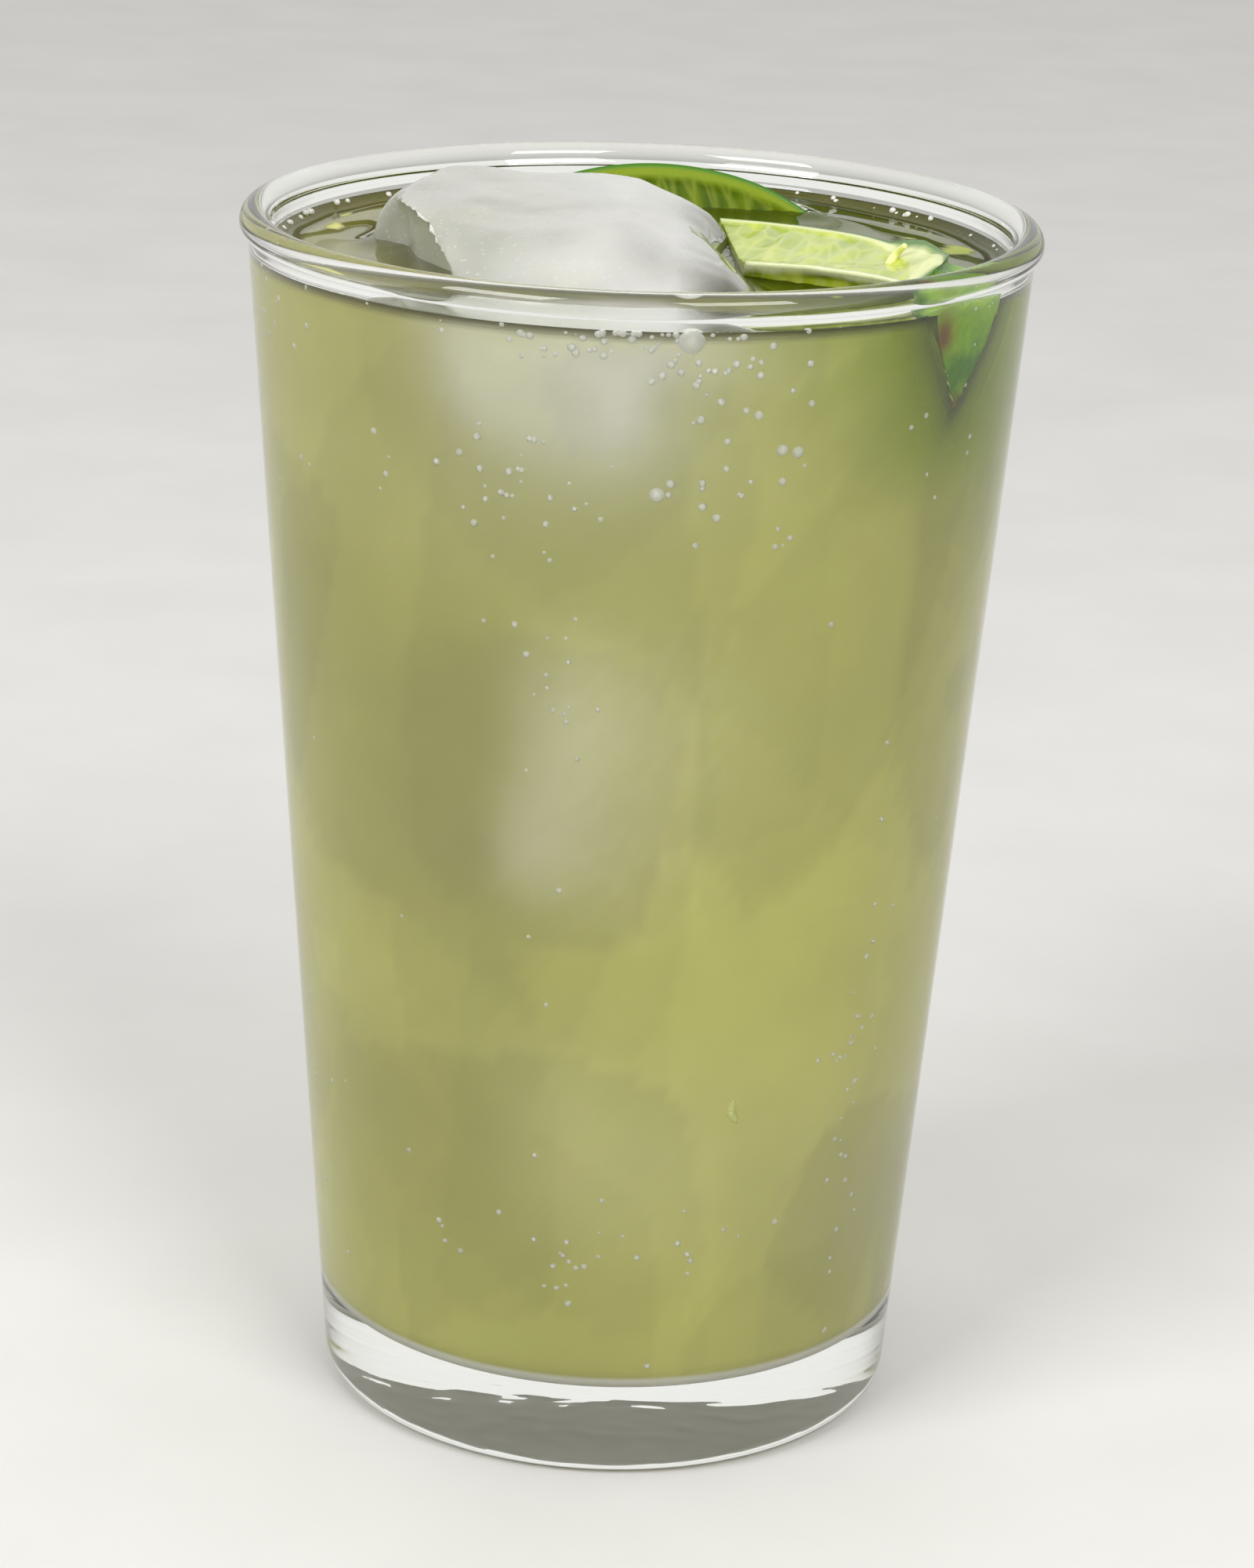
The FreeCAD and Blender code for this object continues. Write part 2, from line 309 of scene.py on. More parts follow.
def wear(obj, *paints):
    """Gives a piece its materials, one for each index that its faces already have."""
    kept = [f.material_index for f in obj.data.polygons]
    obj.data.materials.clear()
    for paint in paints:
        obj.data.materials.append(paint.material)
    obj.data.polygons.foreach_set("material_index", [min(i, len(paints) - 1) for i in kept])


# ---------------------------------------------------------------- tumbler

def floor_corner():
    """The middle (r, z) of the arc where the wall inside meets the floor."""
    up = FLOOR + FLOOR_CORNER
    return (inside(up) - FLOOR_CORNER * SLANT, up)


def tumbler_profile():
    """From the middle of the foot out, up the outside, over the bead, down and in along the floor."""
    dome = (FOOT_RADIUS ** 2 + FOOT_HOLLOW ** 2) / (2 * FOOT_HOLLOW)
    heel = (outside(HEEL) - HEEL * SLANT, HEEL)
    bead_up = GLASS_HEIGHT - BEAD
    bead = (inside(bead_up) + BEAD * SLANT, bead_up)
    tuck = math.degrees(math.acos((WALL / SLANT - BEAD) / BEAD) + TAPER)
    corner = floor_corner()
    taper = math.degrees(TAPER)
    points = []
    foot_steps = 24
    for i in range(foot_steps):
        r = FOOT_RADIUS * i / foot_steps
        points.append((r, FOOT_HOLLOW - dome + math.sqrt(dome ** 2 - r ** 2)))
    points += between((FOOT_RADIUS, 0), (heel[0], 0), 3)
    points += arc_points(heel, HEEL, -90, -taper, 12)
    crease = arc_point(bead, BEAD, -tuck)
    points += between(points[-1], crease, 60)[1:]
    points += arc_points(bead, BEAD, -tuck, 180 - taper, 28)
    inner_end = (corner[0] + FLOOR_CORNER / SLANT, corner[1] - FLOOR_CORNER * LEAN / SLANT)
    points += between(points[-1], inner_end, 60)[1:]
    points += arc_points(corner, FLOOR_CORNER, -taper, -90, 12)
    points += between(points[-1], (0, FLOOR), 24)[1:]
    points.append((0, FLOOR))
    return points


def glass_paint():
    """Clear glass with faint upright streaks of a greener tint."""
    paint = Paint("tumbler_glass")
    streaks = paint.noise(paint.object_place((1.0, 1.0, 0.4)), 60.0, 1.0)
    tint = paint.ramp(streaks, [(0.3, (0.955, 0.975, 0.945)), (0.7, (0.985, 0.992, 0.980))])
    paint.feed(tint, "Base Color")
    paint.set(Transmission_Weight=1.0, IOR=1.5, Roughness=0.0)
    return paint


def make_tumbler():
    glass = lathe("tumbler", tumbler_profile(), TURNS)
    chill, swell, waver = 0.10, 0.05, 0.03
    chill_edge = 24.0
    points = points_of(glass)
    for p in points:
        r = math.hypot(p[0], p[1])
        a = math.atan2(p[1], p[0])
        if p[2] < FLOOR - 1 and r < outside(p[2]) - 0.5:
            # chill ripples under the foot, which fade before its edge
            fade = min(1, max(0, chill_edge - r) / 4)
            p[2] += chill * max(0, wander((p[0], p[1], 0), 2.6, 3.1)) * fade
        elif p[2] < FLOOR + 2 and 1 < r < inside(FLOOR) - 4:
            # the floor inside isn't quite flat
            p[2] += swell * wander((p[0], p[1], 0), 4.0, 7.7)
        if r > 20:
            # a pressed wall is never quite true, and strays inwards only
            out = min(0.0, waver * wander((math.cos(a) * 30, math.sin(a) * 30, p[2] * 0.6), 16, 1.7))
            p[0] += out * math.cos(a)
            p[1] += out * math.sin(a)
    move_points(glass, points)
    wear(glass, glass_paint())
    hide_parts("glass")
    return glass


# ---------------------------------------------------------------- lime

def lime_radius_at(x):
    """The lime's radius at a place along its core: a long flank with a tighter arc at each end."""
    drop = LIME_FLANK - LIME_RADIUS
    end_place = ((LIME_FLANK - LIME_HALF) ** 2 - drop ** 2) / (2 * (LIME_HALF - LIME_FLANK))
    end_radius = LIME_HALF - end_place
    meet = end_place + end_radius * math.cos(math.atan2(drop, end_place))
    x = min(abs(x), LIME_HALF)
    if x > meet:
        return math.sqrt(max(0.0, end_radius ** 2 - (x - end_place) ** 2))
    return math.sqrt(LIME_FLANK ** 2 - x ** 2) - drop


def wedge_mesh(name, angle):
    """A lime wedge about its core, the X axis: material 0 is rind, 1 is cut flesh. The first cut face lies
    on +Z, the last is turned by the angle from +Z towards -Y."""
    along, across, around = WEDGE_ALONG, WEDGE_ACROSS, round(angle)
    points, faces, rind = [], [], []
    index = {}

    def spot(i, j, k):
        """i along the core, j out from it, k round it."""
        x = -LIME_HALF * math.cos(math.pi * i / along)
        radius = lime_radius_at(x)
        if i in (0, along) or j == 0:
            j, k = (0, 0)
        if j not in (0, across):
            k = 0 if k == 0 else around
        key = (i, j, k)
        if key not in index:
            a = math.radians(angle) * k / around
            r = radius * j / across
            index[key] = len(points)
            points.append((x, -r * math.sin(a), r * math.cos(a)))
        return index[key]

    def face(corners, is_rind):
        unique = list(dict.fromkeys(corners))
        if len(unique) > 2:
            faces.append(unique)
            rind.append(is_rind)

    for i in range(along):
        n = i + 1
        for k in range(around):
            m = k + 1
            face([spot(i, across, k), spot(n, across, k), spot(n, across, m), spot(i, across, m)], True)
        for j in range(across):
            m = j + 1
            face([spot(i, j, 0), spot(n, j, 0), spot(n, m, 0), spot(i, m, 0)], False)
            face([spot(i, j, around), spot(i, m, around), spot(n, m, around), spot(n, j, around)], False)
    obj = put(name, points, faces)
    obj.data.polygons.foreach_set("material_index", [0 if r else 1 for r in rind])
    fix = bmesh.new()
    fix.from_mesh(obj.data)
    bmesh.ops.recalc_face_normals(fix, faces=fix.faces)
    fix.to_mesh(obj.data)
    fix.free()
    return obj


def lime_place(spec):
    turn = Matrix.Rotation(math.radians(spec["turn"]), 4, "Z")
    roll = Matrix.Rotation(math.radians(spec["roll"]), 4, "X")
    return Matrix.Translation(Vector(spec["at"])) @ (turn @ roll)


# how thick the peel with its pith is, and how far the heart reaches from the core
PITH = 1.6
HEART = 1.2


def detail_wedge(obj, angle, seed):
    """Writes where each point lies in the fruit, and presses in the cut faces between their juice sacs."""
    points = points_of(obj)
    angle = math.radians(angle)
    depth, core = [], []
    for p in points:
        r = math.hypot(p[1], p[2])
        radius = lime_radius_at(p[0])
        ends = LIME_HALF - abs(p[0])
        depth.append(min(radius - r, ends * 1.2))
        core.append(r)
    value_layer(obj, "depth", depth)
    value_layer(obj, "core", core)
    fruit = [(p[0] + 0.3 * r, 0.26 * r, seed * 7 + math.atan2(-p[1], p[2])) for p, r in zip(points, core)]
    place_layer(obj, "fruit", fruit)
    for i, p in enumerate(points):
        r = core[i]
        around = math.atan2(-p[1], p[2])
        on_cut = min(abs(around), abs(around - angle)) < 0.002
        if on_cut and depth[i] > PITH and r > HEART:
            # sacs are long drops that point to the core
            sac = wander((p[0] * 1.15 + 0.25 * r, r * 0.32, seed * 9), 1.7, seed)
            sink = 0.20 + 0.28 * sac
            side = 1 if abs(around) < 0.002 else -1
            inward = Vector((0, -math.cos(around), -math.sin(around))) * side
            p += np.array(inward) * sink
        elif depth[i] < 0.01 and 0.01 < around < angle - 0.01:
            # the peel is dimpled
            dent = 0.10 + 0.10 * wander(p, 1.1, seed + 4)
            p *= 1 - dent / max(np.linalg.norm(p), 1)
    move_points(obj, points)


def rind_paint():
    """Green peel with pores, brighter where the wall wets it, with brown spots."""
    rind = Paint("lime_rind")
    place = rind.object_place()
    patches = rind.noise(place, 130.0, 3.0, 0.6)
    pores = rind.cells(place, 950.0)
    base = rind.ramp(patches, [(0.30, (0.035, 0.13, 0.004)), (0.52, (0.12, 0.28, 0.006)),
                               (0.75, (0.24, 0.42, 0.012))])
    dots = rind.span(pores, 0.0, 0.45, 0.65, 1.0)
    base = rind.mix(1.0, base, dots, "MULTIPLY")
    wet = rind.ramp(patches, [(0.36, (0.08, 0.24, 0.002)), (0.50, (0.22, 0.45, 0.003)),
                              (0.66, (0.34, 0.55, 0.006))])
    base = rind.mix(rind.layer("pressed"), base, wet)
    rind.feed(rind.mix(rind.layer("stain"), base, (0.20, 0.10, 0.012)), "Base Color")
    rind.set(Coat_Weight=0.15, Coat_Roughness=0.1, Specular_IOR_Level=0.2)
    rind.feed(rind.span(patches, 0.3, 0.7, 0.28, 0.42), "Roughness")
    rind.bump(pores, 0.5, 0.0004)
    return rind


def flesh_paint(name, juice_dark, juice_mid, juice_pale, membrane, pith_colour, heart_colour):
    """Cut lime: long juice sacs with paler walls, a pith band inside the rind, a pale heart."""
    flesh = Paint(name)
    depth = flesh.layer("depth")
    core = flesh.layer("core")
    fruit = flesh.layer("fruit", "Vector")
    sac_scale = 0.62
    sacs = flesh.cells(fruit, sac_scale)
    borders = flesh.cells(fruit, sac_scale, "DISTANCE_TO_EDGE")
    cloud = flesh.noise(fruit, 0.35, 3.0)
    juice = flesh.ramp(cloud, [(0.30, juice_dark), (0.52, juice_mid), (0.72, juice_pale)])
    juice = flesh.mix(flesh.span(borders, 0.0, 0.16, 0.45, 0.0), juice, membrane)
    juice = flesh.mix(flesh.span(sacs, 0.0, 0.5, 0.30, 0.0), juice, juice_dark)
    wobble = flesh.math("MULTIPLY", flesh.math("SUBTRACT", cloud, 0.5), 1.2)
    pith = flesh.span(flesh.math("ADD", depth, wobble), 1.0, 1.7, 1.0, 0.0)
    juice = flesh.mix(pith, juice, pith_colour)
    zest = flesh.span(depth, 0.22, 0.55, 1.0, 0.0)
    juice = flesh.mix(zest, juice, (0.060, 0.19, 0.008))
    heart = flesh.span(flesh.math("ADD", core, wobble), 0.6, 1.4, 1.0, 0.0)
    juice = flesh.mix(heart, juice, heart_colour)
    flesh.feed(juice, "Base Color")
    flesh.set(Coat_Weight=0.25, Coat_Roughness=0.06, Specular_IOR_Level=0.3)
    flesh.feed(flesh.span(pith, 0.0, 1.0, 0.22, 0.5), "Roughness")
    flesh.bump(borders, 0.35, 0.0004)
    return flesh


# the front piece: how far its peel swings to the wall and is pressed into it, and how far its front edge
# and the end of its peel are lifted
SWING = math.radians(10.0)
PRESSED = 0.22
FRONT_LIFT = 1.1
PEEL_LIFT = 1.3


def turn_round(points):
    """How far round the glass points lie, in degrees from the front to the right."""
    return np.degrees(np.arctan2(points[:, 0], -points[:, 1]))


def lean_on_wall(chunk):
    """The front piece's peel is squeezed flat against the wall at its end."""
    points = points_of(chunk)
    depth = np.empty(len(points), dtype=np.float32)
    chunk.data.attributes["depth"].data.foreach_get("value", depth)
    around = turn_round(points)
    swing = SWING * np.exp(-depth / 4) * rising(around, 25, 15) * rising(-around, -110, 40)
    x, y = points[:, 0].copy(), points[:, 1].copy()
    points[:, 0] = x * np.cos(swing) + y * np.sin(swing)
    points[:, 1] = y * np.cos(swing) - x * np.sin(swing)

    # what touches the wall is a tongue of peel that narrows downwards
    around = turn_round(points)
    down = LEVEL - points[:, 2]
    half_width = 10.5 - np.maximum(down, 0)
    wide = np.clip((half_width - np.abs(around - 56.5 + 0.25 * down)) / 3 + 0.5, 0, 1)
    share = wide * rising(down, -0.8, 1.0) * np.clip(1.3 - depth / 2.5, 0, 1)
    reach = np.hypot(points[:, 0], points[:, 1])
    wall = inside(points[:, 2]) + PRESSED
    grow = 1 + share * (wall - reach) / np.maximum(reach, 1)
    points[:, :2] *= grow[:, None]
    value_layer(chunk, "pressed", np.clip(share * 1.3, 0, 1))

    # two brown spots, one near the surface and one at the tongue's tip
    spot = np.exp(-((around - 49.5) / 2.4) ** 2 - ((down - 1.8) / 1.5) ** 2)
    tip = np.exp(-((around - 54) / 2.5) ** 2 - ((down - 8.6) / 1.3) ** 2)
    value_layer(chunk, "stain", np.clip(1.1 * spot + 0.8 * tip, 0, 1) * (share > 0.2))

    points[:, 2] += FRONT_LIFT * rising(-points[:, 1], 6, 8) * rising(points[:, 2], LEVEL - 2, 2)
    points[:, 2] += PEEL_LIFT * rising(points[:, 0], 24.0, 3) * rising(points[:, 2], LEVEL, 1.2)
    move_points(chunk, points)
    # at the right end the cut runs shallow, through pith and peel
    end = rising(points[:, 0], 21.5, 3.5) * rising(points[:, 2], LEVEL - 1.5, 1.5)
    shallow = (depth * (1 - 0.80 * end)).astype(np.float32)
    chunk.data.attributes["depth"].data.foreach_set("value", shallow)


def cut_askew(chunk):
    """Cuts the front piece off where the ice lies, and closes the cut with flesh."""
    cut = bmesh.new()
    cut.from_mesh(chunk.data)
    turn = math.radians(CHUNK_CUT_TURN)
    result = bmesh.ops.bisect_plane(cut, geom=cut.verts[:] + cut.edges[:] + cut.faces[:], dist=1e-7,
                                    plane_co=(CHUNK_CUT_X * MM, 0, LEVEL * MM),
                                    plane_no=(-math.cos(turn), -math.sin(turn), 0), clear_outer=True)
    rim = [e for e in result["geom_cut"] if isinstance(e, bmesh.types.BMEdge)]
    filled = bmesh.ops.triangle_fill(cut, edges=rim, use_beauty=True)
    for f in filled["geom"]:
        if isinstance(f, bmesh.types.BMFace):
            f.material_index = 1
    bmesh.ops.recalc_face_normals(cut, faces=cut.faces)
    cut.to_mesh(chunk.data)
    cut.free()


def make_limes():
    rind = rind_paint()
    # one fruit in two copies: the front piece's flesh as lit, the rear piece's painted darker all over as
    # painted shade
    lit_flesh = flesh_paint("lime_flesh_front_lit", juice_dark=(0.28, 0.40, 0.008), juice_mid=(0.42, 0.52, 0.018),
                         juice_pale=(0.56, 0.64, 0.050), membrane=(0.62, 0.68, 0.15),
                         pith_colour=(0.70, 0.74, 0.36), heart_colour=(0.74, 0.77, 0.44))
    shaded = flesh_paint("lime_flesh_rear_shaded", juice_dark=(0.045, 0.085, 0.003), juice_mid=(0.10, 0.16, 0.004),
                       juice_pale=(0.20, 0.27, 0.012), membrane=(0.30, 0.37, 0.05),
                       pith_colour=(0.24, 0.33, 0.012), heart_colour=(0.34, 0.40, 0.06))
    wedges = []
    for name, spec, seed, flesh in (("lime_front", CHUNK, 0.7, lit_flesh), ("lime_rear", BACK, 5.2, shaded)):
        wedge = wedge_mesh(name, spec["angle"])
        detail_wedge(wedge, spec["angle"], seed)
        matrix = lime_place(spec)
        move_points(wedge, np.array([matrix @ Vector(p) for p in points_of(wedge)]))
        wear(wedge, rind, flesh)
        wedges.append(wedge)
    front, rear = wedges
    lean_on_wall(front)
    cut_askew(front)
    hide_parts("lime_chunk")
    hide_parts("lime_back")
    return front, rear


# ---------------------------------------------------------------- ice

def remeshed(obj, voxel, soften=0):
    """Gives an object an even skin, eased first by so many rounds of softening."""
    if soften:
        ease = obj.modifiers.new("soften", "SMOOTH")
        ease.iterations = soften
    tool = obj.modifiers.new("even", "REMESH")
    tool.mode = "VOXEL"
    tool.voxel_size = voxel * MM
    tool.use_smooth_shade = True
    view = bpy.context.evaluated_depsgraph_get()
    mesh = bpy.data.meshes.new_from_object(obj.evaluated_get(view))
    obj.modifiers.clear()
    obj.data = mesh


def ice_paint(name, cloudy, tint):
    """Ice that is clear where its layer `frost` is 0, of the given cloudiness where it is 1, and tinted where
    its whiteness layer is 0, white where it is 1, with white specks. On the floating ice that layer also
    carries painted shade, which leaves its left side a greyer green."""
    paint = Paint(name)
    place = paint.object_place()
    frost = paint.layer("frost")
    mist = paint.noise(place, 120.0, 4.0, 0.6)
    pits = paint.cells(place, 700.0)
    drift = paint.math("MULTIPLY", paint.math("SUBTRACT", mist, 0.5), 0.7)
    whiteness_and_shade = paint.math("ADD", paint.layer("whiteness_and_shade"), drift)
    base = paint.mix(paint.span(whiteness_and_shade, 0.0, 1.0, 0.0, 1.0), tint, (0.98, 0.98, 0.95))
    specks = paint.cells(place, 1300.0)
    base = paint.mix(paint.span(specks, 0.10, 0.26, 0.8, 0.0), base, (1.0, 1.0, 0.98))
    paint.feed(base, "Base Color")
    paint.feed(paint.span(frost, 0.0, 1.0, 0.97, cloudy), "Transmission Weight")
    paint.feed(paint.span(frost, 0.0, 1.0, 0.02, 0.34), "Roughness")
    paint.set(IOR=1.31, Coat_Weight=0.7, Coat_Roughness=0.05, Coat_IOR=1.33)
    small = paint.span(pits, 0.0, 0.22, 0.0, 1.0)
    lumps = paint.noise(place, 260.0, 3.0)
    height = paint.math("ADD", paint.math("MULTIPLY", small, 0.35), lumps)
    paint.bump(height, 0.22, 0.0006)
    return paint


# how many times further the floating ice reaches to the front than its solid, and the top that it stays under
ICE_FRONT = 1.80
ICE_TOP = 121.7
ICE_VOXEL = 0.6


def make_floating_ice():
    ice = bpy.data.objects.new("ice_floating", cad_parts["ice"].data.copy())
    bpy.context.scene.collection.objects.link(ice)
    remeshed(ice, ICE_VOXEL)
    points = points_of(ice)
    # it comes up to the front wall, and swings out to the right above the drink, in again below
    front = np.minimum(points[:, 1], 0)
    points[:, 1] += front * (ICE_FRONT - 1)
    right = rising(points[:, 0], -8, 14)
    dry = rising(points[:, 2], LEVEL - 4, 3)
    points[:, 0] += right * dry * np.clip(-points[:, 1] - 4, 0, 14) * 0.42
    points[:, 0] -= right * (1 - dry) * np.clip(-points[:, 1] - 6, 0, 14) * 0.12
    points[:, 2] += np.where(points[:, 2] > LEVEL, front * 0.02, 0)
    # melted back from the wall: least a little left of the middle, more at its sides and lower down
    middle = -5.0
    side = (points[:, 0] - middle) / np.where(points[:, 0] > middle, 17.0, 19.0)
    gap = 0.5 + 11.0 * side ** 2 + 0.060 * np.clip(LEVEL - 4 - points[:, 2], 0, 30) ** 2
    gap = np.where(points[:, 1] < 0, gap, 0.6)
    reach = np.hypot(points[:, 0], points[:, 1])
    most = inside(points[:, 2]) - np.minimum(gap, 13.0)
    points[:, :2] *= np.minimum(1.0, most / np.maximum(reach, 1e-6))[:, None]
    move_points(ice, points)
    remeshed(ice, ICE_VOXEL, soften=14)

    points, normals = points_of(ice), normals_of(ice)
    frost = []
    for p, n in zip(points, normals):
        melt = 0.45 + 0.45 * wander(p, 11.0, 2.3) + 0.12 * wander(p, 3.2, 8.1)
        p -= n * max(0.0, melt)
        # a low crown above the drink
        crown = 0.5 + 1.7 * math.exp(-((p[0] + 2.5) / 6.0) ** 2)
        p[2] = min(ICE_TOP, p[2] + crown * unit((p[2] - LEVEL - 0.5) / 2.0))
        # its right end is clear, its left end a little
        clear = max(unit((p[0] - 3.0) / 5.0), 0.15 * unit((-17.0 - p[0]) / 7.0))
        frost.append(unit(0.95 - clear + 0.25 * wander(p, 6.0, 4.4) + 0.06 * wander(p, 1.8, 9.4)))
    move_points(ice, points)
    value_layer(ice, "frost", frost)
    # whiter towards the right: painted shade, with some random tone, makes its left side a greyer green
    value_layer(ice, "whiteness_and_shade", [unit((p[0] + 20.0) / 22.0 + 0.3 * wander(p, 8.0, 6.1)) for p in points])
    wear(ice, ice_paint("ice_above", 0.46, (0.68, 0.69, 0.58)))
    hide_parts("ice")
    return ice


# room left between a sunk block and the wall, and cuts along each of its edges
BLOCK_GAP = 1.5
BLOCK_CUTS = 26


def ice_block(name, size, at, turns, dimple, seed):
    """A tray cube under the surface: round at the edges, narrower below, hollowed on top, half melted."""
    shape = bmesh.new()
    bmesh.ops.create_cube(shape, size=2.0)
    bmesh.ops.subdivide_edges(shape, edges=shape.edges[:], cuts=BLOCK_CUTS, use_grid_fill=True)
    half = Vector(size) / 2
    round_by = 0.60 * min(half)
    spin_x, spin_y, spin_z = (Matrix.Rotation(math.radians(t), 3, axis) for t, axis in zip(turns, "XYZ"))
    spin = spin_z @ spin_y @ spin_x
    points = []
    for v in shape.verts:
        p = Vector([v.co[i] * half[i] for i in range(3)])
        inner = Vector([max(-half[i] + round_by, min(half[i] - round_by, p[i])) for i in range(3)])
        out = p - inner
        if out.length > 0:
            p = inner + out.normalized() * round_by
        narrow = 1 - 0.06 * (1 - p.z / half.z)
        p.x *= narrow
        p.y *= narrow
        if p.z > 0:
            p.z -= dimple * math.exp(-(p.x ** 2 + p.y ** 2) / (0.20 * half.x * half.y))
        p *= 1 - 0.05 * (1 + wander(p, 8.0, seed)) - 0.012 * wander(p, 2.5, seed + 3)
        p = spin @ p + Vector(at)
        reach = math.hypot(p.x, p.y)
        most = inside(p.z) - BLOCK_GAP
        if reach > most:
            p.x *= most / reach
            p.y *= most / reach
        v.co = p * MM
        points.append(p)
    mesh = bpy.data.meshes.new(name)
    shape.to_mesh(mesh)
    shape.free()
    mesh.polygons.foreach_set("use_smooth", [True] * len(mesh.polygons))
    obj = bpy.data.objects.new(name, mesh)
    bpy.context.scene.collection.objects.link(obj)
    value_layer(obj, "frost", [unit(0.75 + 0.5 * wander(p, 7.0, seed + 6)) for p in points])
    value_layer(obj, "whiteness_and_shade", [0.5 + 0.4 * wander(p, 6.0, seed + 9) for p in points])
    return obj


def make_sunk_ice():
    paint = ice_paint("ice_under", 0.25, (0.70, 0.72, 0.52))
    blocks = [
        ice_block("ice_sunk_middle", (15, 21, 29), (-7.3, -15.5, 74.0), (0, 9, 25), dimple=2.0, seed=1.3),
        ice_block("ice_sunk_right", (17, 17, 20), (13.5, -6.0, 27.0), (-8, 14, 25), dimple=2.0, seed=2.9),
        ice_block("ice_sunk_low", (19, 22, 22), (-4.6, -10.5, 35.5), (0, -7, 24), dimple=2.0, seed=4.1),
        ice_block("ice_sunk_left", (22, 20, 26), (2.0, 14.0, 54.0), (0, 10, 40), dimple=2.5, seed=6.6),
    ]
    for block in blocks:
        wear(block, paint)
    return blocks


# ---------------------------------------------------------------- drink

# the drink well lit and in full shade, the limes seen through it and its bottom, which the foot lights
DRINK = np.array((0.700, 0.690, 0.185))
DEEP = np.array((0.340, 0.335, 0.085))
LIME_SEEN = np.array((0.28, 0.37, 0.008))
BOTTOM = (0.96, 0.95, 0.82)
# how far off each kind of thing can still be told, in mm
REACH = {"ice_top": 8.5, "ice_mid": 17.0, "ice_low": 20.0, "ice_far": 20.0, "lime": 26.0}
# its colour in shade and in light, and how light it looks: plain, and for facing up, right and forward
LOOKS = {"ice_top": ((0.40, 0.39, 0.20), (1.00, 0.99, 0.96), 0.35, 0.30, 0.35, 0.62),
         "ice_mid": ((0.41, 0.40, 0.14), (0.95, 0.92, 0.70), 0.05, 0.30, 0.90, 0.42),
         "ice_low": ((0.43, 0.42, 0.13), (0.74, 0.72, 0.36), 0.05, 0.20, 0.90, 0.42),
         "ice_far": ((0.50, 0.49, 0.19), (0.62, 0.60, 0.32), 0.30, 0.45, 0.00, 0.20)}
# ways up to the light
SKY = [Vector(d).normalized() for d in ((0, 0, 1), (0.5, -0.5, 1), (-0.5, -0.4, 1), (0.1, 0.6, 1))]
# light is lost and sent back between skin and wall: there a colour c looks like
# PASSED * c / (1 - SENT_BACK * c)
PASSED = 0.364
SENT_BACK = 0.6
# the bare surface is painted with that darkening as well, as painted shade, and a little darker still, and is
# clearer; a band at the wall is painted darker again, as shade
SURFACE_SHADE = 0.80
SURFACE_CLEAR = 0.45
WALL_RING_SHADE = (0.50, 0.48, 0.42)
WALL_RING_SHADE_WIDTH = 2.2
# how high the surface climbs at ice and lime, how far out, and how much it sways elsewhere
CLIMB = 0.7
CLIMB_REACH = 1.3
SWAY = 0.05


def drink_profile():
    """From the middle of the floor out, up the wall, down the meniscus and in along the surface."""
    floor = FLOOR - INTO_WALL
    corner = floor_corner()
    taper = math.degrees(TAPER)
    top = LEVEL + RISE
    rim = (inside(top) + INTO_WALL, top)
    points = between((0, floor), (corner[0], floor), 16)
    points += arc_points(corner, FLOOR_CORNER + INTO_WALL, -90, -taper, 8)
    points += between(points[-1], rim, 74)[1:]
    points.append(rim)
    # the meniscus, an arc down to the level
    reach = math.sqrt(BEND ** 2 - (BEND - RISE) ** 2)
    steps = 12
    for i in range(1, steps + 1):
        r = rim[0] - reach * i / steps
        points.append((r, LEVEL + BEND - math.sqrt(BEND ** 2 - (r - (rim[0] - reach)) ** 2)))
    points += between(points[-1], (0, LEVEL), 44)[1:]
    points.append((0, LEVEL))
    return points


def cone(normal, count, spread, start):
    """Directions about a normal, closer ones likelier, on a spiral that starts at a given turn."""
    golden = 2.39996
    side = normal.orthogonal().normalized()
    other = normal.cross(side)
    out = []
    for i in range(count):
        tilt = spread * math.sqrt((i + 0.5) / count)
        a = golden * i + start
        way = (normal * math.cos(tilt) + side * math.sin(tilt) * math.cos(a)
               + other * math.sin(tilt) * math.sin(a))
        out.append(way.normalized())
    return out


class Sunk:
    """All that lies in the drink, as one tree that knows whose face a ray has hit."""

    def __init__(self, things):
        points, faces, self.owner = [], [], []
        for obj, kind in things:
            first = len(points)
            points += [tuple(p) for p in points_of(obj)]
            faces += [tuple(first + i for i in f.vertices) for f in obj.data.polygons]
            self.owner += [kind] * len(obj.data.polygons)
        self.tree = BVHTree.FromPolygons(points, faces)

    def look(self, start, way):
        """What a ray meets: its colour there or None, and how well it shows."""
        _, face, index, length = self.tree.ray_cast(start, way, 80.0)
        if index is None:
            return None, 0.0
        kind = self.owner[index]
        share = math.exp(-length / REACH[kind])
        # painted light: a lime seen through the drink is lighter where it faces up
        if kind == "lime":
            return LIME_SEEN * (0.8 + 0.3 * face.z), share
        shaded, light, plain, up, right, front = LOOKS[kind]
        lit = unit(plain + up * face.z + right * face.x - front * face.y)
        return np.array(shaded) + (np.array(light) - np.array(shaded)) * lit, share

    def daylight(self, spot):
        """The share of the light from above that gets to a spot in the drink."""
        open_ways = sum(1.0 for way in SKY if self.tree.ray_cast(spot, way, 45.0)[2] is None)
        return open_ways / len(SKY)


